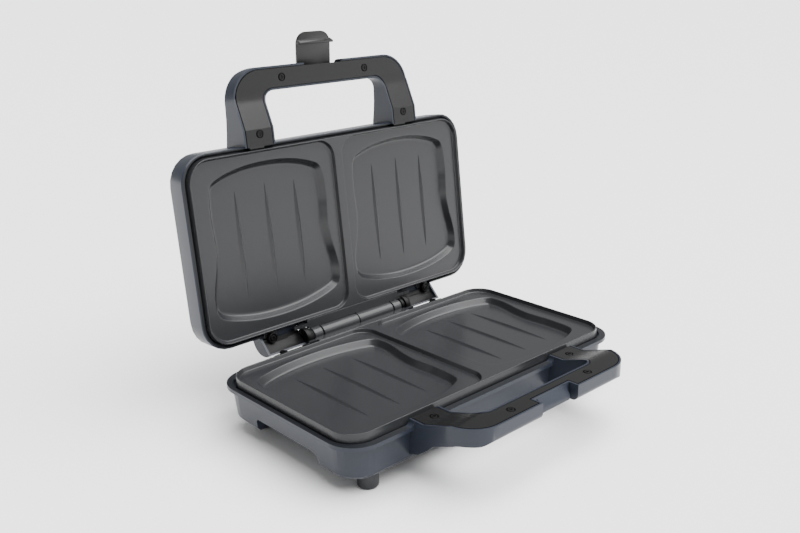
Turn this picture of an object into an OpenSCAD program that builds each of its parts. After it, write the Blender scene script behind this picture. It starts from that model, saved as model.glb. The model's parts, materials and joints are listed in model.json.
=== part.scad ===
// Two-slice deep-fill sandwich toaster, drawn open with its lid leaning back on the hinge.
// Millimetres. X runs to the right, Y to the hinge, Z up, feet on Z = 0.
// Each half is drawn in its own half frame: Z = 0 at the rim of its plate, the plate's face
// towards +Z and the inside of the casing towards -Z. The lid half is turned over and swung open.

/* [Cooking plates] */
// width of one plate over its skirt
plate_w = 290; // [240:1:340]
// depth of one plate over its skirt
plate_d = 149.5; // [125:0.5:180]
// radius of the plate's corners
plate_r = 20; // [12:0.5:28]
// width of the raised rim
rim_w = 2; // [1.5:0.1:4]
// width of the divider between the two cavities
divider_w = 8; // [5:0.5:14]
// depth of the land below the rim
land_depth = 3.3; // [2:0.1:5]
// depth of the pocket floor below the rim
pocket_depth = 9; // [6:0.1:9.5]
// thickness of the casting
cast_t = 2.5; // [2:0.1:3]
// half width of a pocket at its wide rear
pocket_rear = 62.5; // [56:0.5:64]
// half width of a pocket at its waist
pocket_waist = 54; // [46:0.5:56]
// half width of a pocket near the front
pocket_front = 56.5; // [50:0.5:60]
// distance from a pocket's rear end to the plate's rear edge
pocket_back = 11.75; // [8:0.25:18]
// distance from a pocket's front end to the plate's front edge
pocket_fore = 10.75; // [8:0.25:18]
// spacing of the slender ribs in a pocket
rib_pitch = 29; // [22:0.5:33]
// width of a rib at its middle
rib_w = 4.6; // [3:0.1:7]
// height of a rib
rib_h = 1.6; // [0.8:0.1:2.5]

/* [Hinge] */
// distance of the hinge axis behind the plate's rear edge
hinge_back = 13.05; // [12.5:0.05:15]
// radius of the cast knuckles
knuckle_r = 6; // [5:0.1:6.2]
// length of the long knuckle
knuckle_len = 40; // [30:1:42]
// length of the short knuckle
collar_len = 9; // [6:0.5:10]
// diameter of the hinge pin
pin_d = 5; // [4:0.1:6]
// gap between the rims of the closed plates
rim_gap = 0.6; // [0.4:0.1:1]
// angle of the lid in the drawn pose
open_angle = 96.7; // [90:0.1:98]

/* [Casings] */
// overhang of the base's flange beyond the plate's sides
flange_side = 5.3; // [4.5:0.1:7]
// overhang of the base's flange beyond the plate's front and rear
flange_end = 6.75; // [6.2:0.05:7]
// corner radius of the flange
flange_r = 24; // [18:0.5:30]
// drop of the flange below the rim
flange_drop = 6; // [5:0.1:7]
// thickness of the flange
flange_t = 3; // [2.5:0.1:3.5]
// overhang of the lid's edge beyond the plate's sides
lid_side = 4.4; // [4:0.1:5.2]
// overhang of the lid's edge beyond the plate's front and rear
lid_end = 3.1; // [2.8:0.1:3.6]
// drop of the lid's edge below its rim
lid_drop = 3.2; // [2.8:0.1:4.2]
// wall thickness of the mouldings
wall = 2.4; // [1.8:0.1:2.8]
// depth of the base casing below the rim
base_depth = 35; // [31:0.5:40]
// depth of the lid casing's roof below the rim
lid_depth = 30; // [28.5:0.5:36]
// underside of the base between its end blocks, below the rim
arch_depth = 24.5; // [24:0.1:25.5]
// height of the rim above the floor
rim_h = 49.2; // [45:0.1:56]

/* [Handles] */
// half width of the handle loop
handle_x = 92.3; // [88:0.1:98]
// reach of the handle in front of the plate's front edge
handle_reach = 62.25; // [57:0.25:70]
// corner radius of the handle loop
handle_r = 26; // [20:0.5:30]
// half width of the finger opening
grip_x = 63.5; // [55:0.5:65]
// reach of the finger opening in front of the plate's front edge
grip_reach = 43.25; // [38:0.25:46]
// thickness of the cover plates
cover_t = 2.6; // [2.2:0.1:3]

/* [Latch] */
// width of the latch clip
latch_w = 35; // [26:0.5:37]
// length of the latch clip from its pivot to the tip
latch_len = 31; // [29:0.5:36]
// thickness of the latch clip
latch_t = 2; // [1.6:0.1:2.4]
// diameter of the latch pin
latch_pin_d = 3; // [2.4:0.1:3.4]
// angle by which the clip stands forward of its plate's fully swung place
latch_lean = 8; // [0:1:15]

/* [Feet] */
// diameter of a foot at its top
foot_d = 16.5; // [14:0.5:20]
// distance from a foot's middle to the plate's side edge
foot_in_x = 25.5; // [23:0.5:33]
// distance from a foot's middle to the plate's front or rear edge
foot_in_y = 12.25; // [11.75:0.25:18]

/* [Hidden] */
$fn = 48;
// small overlap that joins solids of one piece
eps = 0.02;
// running clearance round a pin, radial
run_clear = 0.06;
// clearance between parts that are laid in
lay_gap = 0.1;
// groove round the cover plates
groove = 0.8;
// gap between the faces of the closed handles
handle_gap = 0.9;
// width of the casing's edge round a cover plate
edge_w = 1.5;
// gap between plate skirt and casing flange
channel = 1.5;

// edges of the plate, and what is placed from them
side_x = plate_w / 2;
end_y = plate_d / 2;
hinge_y = end_y + hinge_back;
handle_y = end_y + handle_reach;
grip_y = end_y + grip_reach;
pocket_back_y = end_y - pocket_back;
pocket_front_y = end_y - pocket_fore;
foot_x = side_x - foot_in_x;
foot_y = end_y - foot_in_y;
// how far the handles' legs run back into the casings
leg_back = end_y - 4.75;
axis_z = rim_gap / 2;
skirt_depth = flange_drop + flange_t;
flange_w = plate_w + 2 * flange_side;
flange_d = plate_d + 2 * flange_end;
lid_w = plate_w + 2 * lid_side;
lid_d = plate_d + 2 * lid_end;
mouth_w = plate_w + 2 * channel;
mouth_d = plate_d + 2 * channel;
mouth_r = plate_r + channel;
// the casing wall stands in from the flange's edge
wall_in_x = 3.3;
wall_in_y = 3.5;
wall_r = flange_r - 2;
// ledge inside the casing that carries the plate
ledge_w = 5;
// underside of the pocket shells, where the element is clamped
shell_z = -(pocket_depth + cast_t);
land_under = -(land_depth + cast_t);

// split surface of the handles: flat at the root, ramp, flat on the bar
split_root = -1.8;
split_bar = 6.6;
ramp_y0 = end_y + 15.25;
ramp_y1 = grip_y - 2.5;
root_y = end_y + channel + 0.25;
bar_under = 6.5;
bar_over = 19.5;

// screws: shank radius, head radius and height
screw_r = 1.5;
head_r = 2.9;
head_h = 1.3;
sink = 1.1;
bar_screw_x = 44;
bar_screw_y = handle_y - 9.5;
foot_screw_x = 77.3;
foot_screw_y = end_y + 11.25;
boss_r = 3.7;

// hinge: knuckles of both plates side by side, the web that carries them, and the pin's bushes
knuckle_gap = 1;
web_gap = 0.35;
knuckle_end = knuckle_len + knuckle_gap + collar_len;
web_x = knuckle_end + 2;
web_t = 3;
web_y = hinge_y - knuckle_r - web_gap;
bush_r = knuckle_r + 2;
bush_x = knuckle_end + 3;
bush_t = 6;

// rear hinge covers
ear_x0 = bush_x + bush_t + 1;
ear_x1 = 98;
ear_wall = 2;
ear_cy = end_y + 4.45;
ear_cz = 1.2;
ear_r = 14.2;
// hollow of the lid's covers that clears the base's covers
ear_hollow_r = 17.8;
ear_back = end_y - 14.75;
base_ear_screw = [86, end_y + 3.45];
lid_ear_screw = [87.7, end_y + 5.05];
ear_screw_mid = (base_ear_screw + lid_ear_screw) / 2;
// the plate's lugs lie on the flange under the covers
lug_t = flange_drop + split_root - cover_t - lay_gap;
lug_w = 14;

// latch, in the closed lid's frame
latch_y = handle_y - 7;
latch_z = 15;
barrel_r = 4;
notch_x = 20.25;
notch_y = handle_y - 8.6;
catch_half = 16.5;
catch_top = -1;
catch_low = -5.6;
catch_out = handle_y - 4.4;
hook_play = 0.3;
hook_face = latch_z + rim_gap - catch_low + hook_play;
latch_arm = 5.5;

// place of the latch clip's tip in the drawn pose, and the shift that centres the whole toaster
back_y = barrel_r * cos(latch_lean) - (latch_arm + latch_t) * sin(latch_lean);
back_z = barrel_r * sin(latch_lean) + (latch_arm + latch_t) * cos(latch_lean);
far_y = hinge_y - (hinge_y + latch_y - back_y) * cos(open_angle)
    + (latch_z + back_z + axis_z) * sin(open_angle);
home_y = round(5 * (handle_y - far_y)) / 10;

// heating element
tube_r = 3.25;
tube_z = shell_z - tube_r;
loop_x = 100;
loop_y = 34;
loop_r = 18;
tail_x = 22;
tray_z = -20;
tray_t = 0.8;
post_x = 92;
post_y = 50;
block_y = end_y - 22.75;
// the terminal block ends a clear air gap below the reflector
block_air = 1.9;
block_h = base_depth - wall + tray_z - tray_t - block_air;

// ---- frames ----

module base_half() {
    translate([0, home_y, rim_h]) children();
}

// the lid's own frame: rim plane at Z = 0, roof towards +Z when closed
module lid_half() {
    translate([0, home_y + hinge_y, rim_h + axis_z])
        rotate([-open_angle, 0, 0])
            translate([0, -hinge_y, rim_gap - axis_z]) children();
}

// turns a half-frame piece over for the lid
module turned() {
    rotate([0, 180, 0]) children();
}

module both_sides() {
    children();
    mirror([1, 0, 0]) children();
}

// extrudes a (y, z) outline along X from x0 to x1
module along_x(x0, x1) {
    translate([x0, 0, 0]) rotate([90, 0, 90]) linear_extrude(x1 - x0) children();
}

module rod_x(x0, x1, r) {
    translate([x0, 0, 0]) rotate([0, 90, 0]) cylinder(r = r, h = x1 - x0);
}

// ---- outlines ----

module round_rect(w, d, r) {
    square([w - 2 * r, d], center = true);
    square([w, d - 2 * r], center = true);
    for (x = [-1, 1])
        for (y = [-1, 1])
            translate([x * (w / 2 - r), y * (d / 2 - r)]) circle(r);
}

module slab(w, d, r, z0, z1) {
    translate([0, 0, z0]) linear_extrude(z1 - z0) round_rect(w, d, r);
}

// ring of a rounded rectangle for a loft, counter-clockwise
function rect_ring(w, d, r, z, n = 6) = [
    for (q = [0:3]) for (i = [0:n])
        let (a = q * 90 + i * 90 / n)
        let (sx = (q == 0 || q == 3) ? 1 : -1)
        let (sy = q < 2 ? 1 : -1)
        [sx * (w / 2 - r) + r * cos(a), sy * (d / 2 - r) + r * sin(a), z]];

// ring of the right-hand cavity: wide corners outside, tighter ones at the divider
function cavity_ring(inset, z, n = 6) = [
    for (q = [0:3]) for (i = [0:n])
        let (a = q * 90 + i * 90 / n)
        let (out = q == 0 || q == 3)
        let (r = (out ? plate_r - rim_w : plate_r - 5) - inset)
        let (cx = out ? plate_w / 2 - rim_w - inset - r : divider_w / 2 + inset + r)
        let (sy = q < 2 ? 1 : -1)
        [cx + r * cos(a), sy * (end_y - rim_w - inset - r) + r * sin(a), z]];

// right half of a pocket's outline, from the front middle to the rear middle
pocket_side = [[0.42 * pocket_front, -pocket_front_y + 1.6],
    [0.80 * pocket_front, -pocket_front_y + 7],
    [0.965 * pocket_front, -pocket_front_y + 14.5],
    [pocket_front, -0.42 * pocket_front_y],
    [pocket_waist + 0.5, -0.24 * pocket_front_y],
    [pocket_waist, -1],
    [pocket_waist + 0.36 * (pocket_rear - pocket_waist), 0.24 * pocket_back_y],
    [pocket_waist + 0.80 * (pocket_rear - pocket_waist), 0.44 * pocket_back_y],
    [pocket_rear, 0.62 * pocket_back_y],
    [0.965 * pocket_rear, pocket_back_y - 13],
    [0.80 * pocket_rear, pocket_back_y - 7],
    [0.42 * pocket_rear, pocket_back_y - 1.7]];
side_n = len(pocket_side);
pocket_frame = concat([[0, -pocket_front_y]], pocket_side, [[0, pocket_back_y]],
    [for (i = [side_n - 1:-1:0]) [-pocket_side[i][0], pocket_side[i][1]]]);

// closed smooth curve through the outline's points
function smooth(p, steps) = [
    for (i = [0:len(p) - 1]) for (s = [0:steps - 1])
        let (n = len(p), t = s / steps)
        let (a = p[(i + n - 1) % n], b = p[i], c = p[(i + 1) % n], d = p[(i + 2) % n])
        0.5 * (2 * b + (c - a) * t + (2 * a - 5 * b + 4 * c - d) * t * t
            + (3 * b - a - 3 * c + d) * t * t * t)];

pocket_curve = smooth(pocket_frame, 3);

function inset_ring(p, inset, z) = [
    for (i = [0:len(p) - 1])
        let (n = len(p), t = p[(i + 1) % n] - p[(i + n - 1) % n])
        [p[i][0] - t[1] / norm(t) * inset, p[i][1] + t[0] / norm(t) * inset, z]];

// solid through a stack of rings, lowest first
module loft(rings) {
    n = len(rings[0]);
    m = len(rings);
    polyhedron([for (r = rings) each r], concat(
        [[for (i = [0:n - 1]) i]],
        [for (k = [0:m - 2]) for (i = [0:n - 1])
            [k * n + i, (k + 1) * n + i, (k + 1) * n + (i + 1) % n]],
        [for (k = [0:m - 2]) for (i = [0:n - 1])
            [k * n + i, (k + 1) * n + (i + 1) % n, k * n + (i + 1) % n]],
        [[for (i = [n - 1:-1:0]) (m - 1) * n + i]]), convexity = 6);
}

// ---- cooking plates (one casting, used twice) ----

pocket_mid = (divider_w / 2 + plate_w / 2 - rim_w) / 2 - 1.5;

module pocket_hollow() {
    wall_slope = 0.55;
    deep = pocket_depth - land_depth;
    translate([pocket_mid, 0, 0]) loft([
        inset_ring(pocket_curve, deep * wall_slope + 3.2, -pocket_depth),
        inset_ring(pocket_curve, deep * wall_slope + 0.6, -pocket_depth + 0.7),
        inset_ring(pocket_curve, (deep - 2.2) * wall_slope, -pocket_depth + 2.2),
        inset_ring(pocket_curve, 0, -land_depth),
        inset_ring(pocket_curve, -0.5, -land_depth + 1)]);
}

module pocket_shell() {
    translate([pocket_mid, 0, 0]) loft([
        inset_ring(pocket_curve, 2, shell_z),
        inset_ring(pocket_curve, -cast_t + 0.6, land_under),
        inset_ring(pocket_curve, -cast_t, land_under + 1)]);
}

// slender rib with a sharp crest, pointed at both ends
module rib(y0, y1) {
    n = 12;
    sunk = 0.5;
    z0 = -pocket_depth - sunk;
    steps = [for (i = [1:n - 1]) i / n];
    function half(t) = rib_w / 2 * pow(sin(180 * t), 0.7);
    body = [for (t = steps) each [
        [-half(t), y0 + (y1 - y0) * t, z0],
        [0, y0 + (y1 - y0) * t, -pocket_depth + rib_h * pow(sin(180 * t), 0.7)],
        [half(t), y0 + (y1 - y0) * t, z0]]];
    m = len(steps);
    tip = 3 * m;
    polyhedron(concat(body, [[0, y0, z0], [0, y1, z0]]), concat(
        [for (k = [0:m - 2]) each [
            [3 * k, 3 * k + 3, 3 * k + 4], [3 * k, 3 * k + 4, 3 * k + 1],
            [3 * k + 1, 3 * k + 4, 3 * k + 5], [3 * k + 1, 3 * k + 5, 3 * k + 2],
            [3 * k + 2, 3 * k + 5, 3 * k + 3], [3 * k + 2, 3 * k + 3, 3 * k]]],
        [[tip, 0, 1], [tip, 1, 2], [tip, 2, 0]],
        [[tip + 1, 3 * m - 2, 3 * m - 3], [tip + 1, 3 * m - 1, 3 * m - 2],
            [tip + 1, 3 * m - 3, 3 * m - 1]]), convexity = 4);
}

rib_reach = 44;

module knuckle(x0, x1) {
    translate([0, hinge_y, axis_z]) rod_x(x0, x1, knuckle_r);
    translate([x0, web_y - 1, -web_t]) cube([x1 - x0, hinge_y - web_y + 1, web_t]);
}

module plate_lugs() {
    both_sides() {
        translate([foot_screw_x - lug_w / 2, -foot_screw_y - 5, -flange_drop])
            cube([lug_w, foot_screw_y + 5 - end_y + 1, lug_t]);
        translate([ear_screw_mid[0] - lug_w / 2, end_y - 1, -flange_drop])
            cube([lug_w, 6.2, lug_t]);
    }
}

module plate() {
    difference() {
        union() {
            difference() {
                slab(plate_w, plate_d, plate_r, -skirt_depth, 0);
                slab(plate_w - 2 * cast_t, plate_d - 2 * cast_t, plate_r - cast_t,
                    -skirt_depth - 1, land_under);
            }
            both_sides() pocket_shell();
            translate([-web_x, end_y - 1, -web_t])
                cube([2 * web_x, web_y - end_y + 1, web_t]);
            knuckle(-knuckle_len, 0);
            knuckle(knuckle_len + knuckle_gap, knuckle_end);
            plate_lugs();
        }
        both_sides() {
            loft([cavity_ring(1.1, -land_depth), cavity_ring(-0.35, 1)]);
            pocket_hollow();
        }
        translate([0, hinge_y, axis_z])
            rod_x(-knuckle_len - 1, web_x + 4, pin_d / 2 + run_clear);
        both_sides() {
            translate([foot_screw_x, -foot_screw_y, -flange_drop - 1])
                cylinder(r = screw_r + 0.3, h = 4);
            translate([ear_screw_mid[0], ear_screw_mid[1], -flange_drop - 1])
                cylinder(r = screw_r + 1.4, h = 4);
        }
    }
    both_sides()
        for (k = [-1:1])
            translate([pocket_mid + k * rib_pitch, 0, 0])
                rib(-rib_reach - (k == 0 ? 3 : 1), rib_reach + (k == 0 ? 2 : 0));
}

// ---- handle loops ----

// plan of a handle, shrunk by g all round; the loop opens towards the casing
module handle_plan(g, back) {
    difference() {
        translate([-(handle_x - g), -(handle_y - g)]) union() {
            w = 2 * (handle_x - g);
            r = handle_r - g;
            translate([r, 0]) square([w - 2 * r, handle_y - g - back]);
            translate([0, r]) square([w, handle_y - g - back - r]);
            translate([r, r]) circle(r);
            translate([w - r, r]) circle(r);
        }
        grip_hole(g);
    }
}

// finger opening grown by g
module grip_hole(g) {
    w = 2 * (grip_x + g);
    r = 9.5 + g;
    y0 = -(grip_y + g);
    translate([-w / 2, y0]) union() {
        translate([r, 0]) square([w - 2 * r, 70]);
        translate([0, r]) square([w, 70]);
        translate([r, r]) circle(r);
        translate([w - r, r]) circle(r);
    }
}

// height of the split surface shifted by s, as a strip down to the given lower outline
function split_line(s) = [[-(handle_y + 3), split_bar + s], [-ramp_y1, split_bar + s],
    [-ramp_y0, split_root + s], [-60, split_root + s]];

module below_split(s) {
    polygon(concat(split_line(s), [[-60, -60], [-(handle_y + 3), -60]]));
}

module above_split(s) {
    polygon(concat(split_line(s), [[-60, 60], [-(handle_y + 3), 60]]));
}

// outside of a leg: [distance in front of the plate, share of the way from the bar's outside
// to the casing's floor or roof]
base_leg = [[-4.75, 0.885], [0.25, 0.827], [10.25, 0.7115], [20.25, 0.4425], [25.25, 0.2885],
    [34.25, 0.154], [40.25, 0.081], [45.25, 0.015], [49.25, 0]];
lid_leg = [[-4.75, 0.667], [3.25, 0.524], [13.25, 0.295], [23.25, 0.124], [33.25, 0.0285],
    [41.25, 0]];

// side outline of the base handle, raised by g along its underside
module base_handle_side(g) {
    nose = 5 - g;
    drop = base_depth - bar_under;
    difference() {
        polygon(concat([[-leg_back, 12]],
            [for (p = base_leg) [-end_y - p[0], -bar_under - p[1] * drop + g]],
            [[-handle_y + g + nose, -bar_under + g],
                [-handle_y + g, -bar_under + g + nose], [-handle_y + g, 12]]));
        translate([0, split_bar + 60]) square([400, 120], center = true);
    }
    translate([-handle_y + g + nose, -bar_under + g + nose]) circle(nose);
}

// side outline of the lid handle in the closed lid's frame
module lid_handle_side(g) {
    nose = 6 - g;
    rise = lid_depth - bar_over;
    polygon(concat([[-leg_back, -6]],
        [for (p = lid_leg) [-end_y - p[0], bar_over + p[1] * rise - g]],
        [[-handle_y + g + nose, bar_over - g],
            [-handle_y + g, bar_over - g - nose], [-handle_y + g, -6]]));
    translate([-handle_y + g + nose, bar_over - g - nose]) circle(nose);
}

module cover_plan() {
    difference() {
        handle_plan(edge_w + groove, root_y);
        translate([0, -root_y + 50]) square([400, 100], center = true);
    }
}

module cover_bed_plan() {
    handle_plan(edge_w, root_y - 1);
}

// raised root of a leg on the casing's edge, which ends at edge_y; filleted, t high
module root_block(t, edge_y) {
    f = min(4.2, t);
    both_sides() translate([0, -root_y, 0]) rotate([90, 0, 0])
        linear_extrude(edge_y - root_y) difference() {
            translate([grip_x - f, -eps]) square([handle_x - grip_x + 2 * f, t + eps]);
            for (c = [[grip_x - f, f], [handle_x + f, f]])
                translate([c[0], c[1]]) circle(f);
            translate([grip_x - 2 * f, f]) square([f + f, 20]);
            translate([handle_x, f]) square([f + f, 20]);
        }
}

module screw(len) {
    difference() {
        union() {
            cylinder(r1 = head_r, r2 = head_r - 0.5, h = head_h);
            translate([0, 0, -len]) cylinder(r = screw_r, h = len + eps);
        }
        for (a = [0, 90])
            rotate([0, 0, a]) translate([-head_r * 0.55, -0.35, head_h - 0.7])
                cube([head_r * 1.1, 0.7, 1]);
    }
}

// the screw places of a handle's cover: two on the bar, two at the roots; s shifts their height
module bar_spots(s) {
    both_sides() translate([bar_screw_x, -bar_screw_y, split_bar + s]) children();
}

module root_spots(s) {
    both_sides() translate([foot_screw_x, -foot_screw_y, split_root + s]) children();
}

module handle_screw_spots(s) {
    bar_spots(s) children();
    root_spots(s) children();
}

module cover(s, up) {
    difference() {
        intersection() {
            translate([0, 0, -30]) linear_extrude(80) cover_plan();
            along_x(-handle_x, handle_x) difference() {
                if (up) above_split(s);
                else below_split(s);
                if (up) above_split(s + cover_t);
                else below_split(s - cover_t);
            }
        }
        handle_screw_spots(s) {
            cylinder(r = screw_r + 0.2, h = 20, center = true);
            translate([0, 0, up ? -5 : -sink]) cylinder(r = head_r + 0.5, h = 5 + sink);
        }
    }
}

// ---- base casing ----

function base_rings(g, z_top) = [
    rect_ring(flange_w - 2 * wall_in_x - 11 - 2 * g, flange_d - 2 * wall_in_y - 9 - 2 * g,
        wall_r - 4 - g, -base_depth + g),
    rect_ring(flange_w - 2 * wall_in_x - 6 - 2 * g, flange_d - 2 * wall_in_y - 4.4 - 2 * g,
        wall_r - 2 - g, -base_depth + 2.6 + g * 0.6),
    rect_ring(flange_w - 2 * wall_in_x - 2 * g, flange_d - 2 * wall_in_y - 2 * g,
        wall_r - g, z_top)];

// recess that lifts the underside at each side, grown by g
module side_recess(g) {
    y0 = -39 - g;
    y1 = 35 + g;
    zt = -arch_depth + g;
    x0 = side_x - 39 - g;
    both_sides() intersection() {
        along_x(x0, side_x + 15) {
            translate([y0, -60]) square([y1 - y0, 60 + zt - 7]);
            translate([y0 + 7, -60]) square([y1 - y0 - 10, 60 + zt]);
            translate([y0 + 7, zt - 7]) circle(7);
            translate([y1 - 3, zt - 3]) circle(3);
            translate([y1 - 3 - eps, zt - 8]) square([3 + eps, 5]);
        }
        translate([0, 0, -60]) linear_extrude(60) {
            translate([x0 + 12, y0]) square([60, y1 - y0]);
            translate([x0, y0 + 12]) square([60, y1 - y0 - 24]);
            translate([x0 + 12, y0 + 12]) circle(12);
            translate([x0 + 12, y1 - 12]) circle(12);
        }
    }
}

module at_feet() {
    for (x = [-foot_x, foot_x])
        for (y = [-foot_y, foot_y])
            translate([x, y, -base_depth]) children();
}

stem_r = 3;
stem_h = 5;
inlet_x = 104;
inlet_z = -20;
inlet_r = 3.6;

module handle_pockets_base() {
    intersection() {
        translate([0, 0, -40]) linear_extrude(80) handle_plan(3.6, root_y + 5);
        along_x(-handle_x, handle_x) intersection() {
            base_handle_side(wall);
            below_split(3);
        }
    }
}

// bed of the base's cover plate; it steps back round the notch
module base_cover_bed() {
    intersection() {
        translate([0, 0, -30]) linear_extrude(60) difference() {
            cover_bed_plan();
            notch_plan(edge_w);
        }
        along_x(-handle_x, handle_x) above_split(-cover_t);
    }
}

// plan of the notch in the base's bar, grown by g
module notch_plan(g) {
    translate([-notch_x - g, -handle_y - 5])
        square([2 * (notch_x + g), handle_y + 5 - notch_y + g]);
}

module base_bosses() {
    intersection() {
        union() {
            bar_spots(-cover_t - 30) cylinder(r = boss_r, h = 30);
            root_spots(-flange_drop - split_root - 30) cylinder(r = boss_r, h = 30);
        }
        along_x(-handle_x, handle_x) base_handle_side(0.5);
    }
}

module notch_cut() {
    translate([0, 0, -20]) linear_extrude(40) notch_plan(0);
}

module base_casing() {
    color([0.40, 0.41, 0.45]) difference() {
        union() {
            difference() {
                union() {
                    slab(flange_w, flange_d, flange_r, -flange_drop - flange_t, -flange_drop);
                    difference() {
                        loft(base_rings(0, -flange_drop - 1));
                        side_recess(0);
                    }
                    intersection() {
                        translate([0, 0, -40]) linear_extrude(50) handle_plan(0, leg_back);
                        along_x(-handle_x, handle_x) intersection() {
                            base_handle_side(0);
                            below_split(0);
                            translate([-200, -60]) square([200 - flange_d / 2 + eps, 80]);
                        }
                    }
                    intersection() {
                        translate([0, 0, -40]) linear_extrude(33) handle_plan(0, leg_back);
                        along_x(-handle_x, handle_x) base_handle_side(0);
                    }
                    translate([0, 0, -flange_drop]) root_block(split_root + flange_drop, flange_d / 2);
                }
                slab(mouth_w, mouth_d, mouth_r, -skirt_depth, 10);
                slab(mouth_w - 2 * ledge_w, mouth_d - 2 * ledge_w, mouth_r - ledge_w,
                    -skirt_depth - wall - eps, 0);
                difference() {
                    loft(base_rings(wall, -skirt_depth - wall));
                    side_recess(wall);
                }
                handle_pockets_base();
                both_sides() translate([foot_screw_x - 7.4, -foot_screw_y - 5.4, -flange_drop])
                    cube([14.8, foot_screw_y, 10]);
                notch_cut();
            }
            base_bosses();
            // wall behind the notch and the catch for the latch
            intersection() {
                translate([-notch_x - wall, -notch_y, -bar_under])
                    cube([2 * (notch_x + wall), wall, 30]);
                along_x(-40, 40) below_split(0);
            }
            for (x = [-notch_x - wall, notch_x])
                intersection() {
                    translate([x, -handle_y, -bar_under])
                        cube([wall, handle_y - notch_y + wall, 30]);
                    along_x(-40, 40) intersection() {
                        below_split(0);
                        base_handle_side(0);
                    }
                }
            along_x(-catch_half, catch_half) polygon([[-notch_y + eps, catch_low],
                [-catch_out + 0.8, catch_low], [-catch_out, catch_low + 0.8],
                [-catch_out, catch_top], [-notch_y + eps, split_bar - 0.8]]);
            // posts for the reflector and the terminal block
            for (x = [-post_x, post_x])
                for (y = [-post_y, post_y])
                    translate([x, y, -base_depth + 1])
                        cylinder(r = 3.2, h = base_depth - 1 + tray_z - tray_t);
            // collar of the cord inlet
            translate([inlet_x, end_y - 4, inlet_z])
                rotate([-90, 0, 0]) cylinder(r = 7, h = 6.5);
            // stops for the lid's ears
            both_sides() translate([ear_x1 - 2.4, flange_d / 2 - 3, -flange_drop - 1])
                cube([2.8, 3, 3]);
        }
        handle_screw_spots(-cover_t + eps)
            translate([0, 0, -9]) cylinder(r = screw_r + 0.05, h = 10);
        both_sides() translate([base_ear_screw[0], base_ear_screw[1], -skirt_depth - 5])
            cylinder(r = screw_r + 0.05, h = 8);
        translate([inlet_x, ear_back, inlet_z]) rotate([-90, 0, 0])
            cylinder(r = inlet_r, h = 40);
        at_feet() translate([0, 0, -1]) cylinder(r = stem_r + 0.05, h = stem_h + 2);
        // cooling slots in the underside
        for (k = [-3:3])
            translate([k * 11 - 1.6, -26, -base_depth - 5]) cube([3.2, 52, 12]);
        base_cover_bed();
    }
}

// ---- base trim ----

module base_handle_cover() {
    color([0.09, 0.09, 0.09]) difference() {
        cover(0, false);
        translate([0, 0, -20]) linear_extrude(40) notch_plan(edge_w + groove);
    }
}

module base_handle_screws() {
    color([0.3, 0.3, 0.3]) handle_screw_spots(-sink) screw(8);
}

module base_hinge_covers() {
    screw_y = base_ear_screw[1];
    top = split_root + 0.6;
    color([0.03, 0.03, 0.03]) both_sides() difference() {
        union() {
            along_x(ear_x0, ear_x1 - 2.6) polygon([
                [end_y + 0.9, -flange_drop + lug_t + lay_gap],
                [end_y + 0.9, top - 0.4], [end_y + 2.4, top],
                [flange_d / 2 - 0.4, -4.3], [flange_d / 2 + 1.2, -6],
                [flange_d / 2 + 1.6, -13], [flange_d / 2, -13],
                [flange_d / 2, -flange_drop], [flange_d / 2 - 1, -flange_drop],
                [flange_d / 2 - 1, -flange_drop + lug_t + lay_gap]]);
            translate([base_ear_screw[0], screw_y, -flange_drop + lug_t + lay_gap])
                cylinder(r = 3.4, h = top + flange_drop - lug_t - lay_gap + 0.2);
        }
        translate([base_ear_screw[0], screw_y, -10]) cylinder(r = screw_r + 0.2, h = 20);
        translate([base_ear_screw[0], screw_y, top - 0.8]) cylinder(r = head_r, h = 5);
    }
}

module base_hinge_screws() {
    color([0.3, 0.3, 0.3]) both_sides()
        translate([base_ear_screw[0], base_ear_screw[1], split_root + 0.6 - 0.8])
            intersection() {
                screw(8);
                cylinder(r = head_r - 0.1, h = 40, center = true);
            }
}

module feet() {
    h = rim_h - base_depth;
    color([0.25, 0.26, 0.28]) at_feet() {
        rotate([180, 0, 0]) rotate_extrude() {
            polygon([[0, 0], [foot_d / 2, 0], [foot_d / 2 - 0.4, h - 2.4],
                [foot_d / 2 - 2.8, h - 2.4], [foot_d / 2 - 2.8, h], [0, h]]);
            translate([foot_d / 2 - 2.8, h - 2.4]) difference() {
                circle(2.4);
                translate([-5, -5]) square([5, 10]);
            }
        }
        cylinder(r = stem_r, h = stem_h);
    }
}

// ---- hinge ----

module hinge_pin() {
    color([0.7, 0.7, 0.7]) translate([0, hinge_y, axis_z]) rod_x(-bush_x - 3, bush_x + 3, pin_d / 2);
}

module hinge_bushes() {
    color([0.04, 0.04, 0.04]) both_sides() translate([0, hinge_y, axis_z]) difference() {
        union() {
            rod_x(bush_x + 1, bush_x + bush_t, bush_r);
            rod_x(bush_x - 2, bush_x + 2, bush_r - 2);
        }
        rod_x(bush_x - 3, bush_x + 3, pin_d / 2 + 0.02);
    }
}

// ---- heating, one set in each half ----

module element() {
    color([0.55, 0.55, 0.56]) translate([0, 0, tube_z]) {
        for (x = [-1, 1]) {
            translate([x * loop_x, -loop_y + loop_r, 0])
                rotate([-90, 0, 0]) cylinder(r = tube_r, h = 2 * (loop_y - loop_r));
            for (y = [-1, 1])
                translate([x * (loop_x - loop_r), y * (loop_y - loop_r), 0])
                    rotate([0, 0, x > 0 ? (y > 0 ? 0 : 270) : (y > 0 ? 90 : 180)])
                        rotate_extrude(angle = 90) translate([loop_r, 0]) circle(tube_r);
        }
        translate([0, -loop_y, 0]) rod_x(-loop_x + loop_r, loop_x - loop_r, tube_r);
        both_sides() translate([0, loop_y, 0]) rod_x(tail_x, loop_x - loop_r, tube_r);
    }
}

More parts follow.
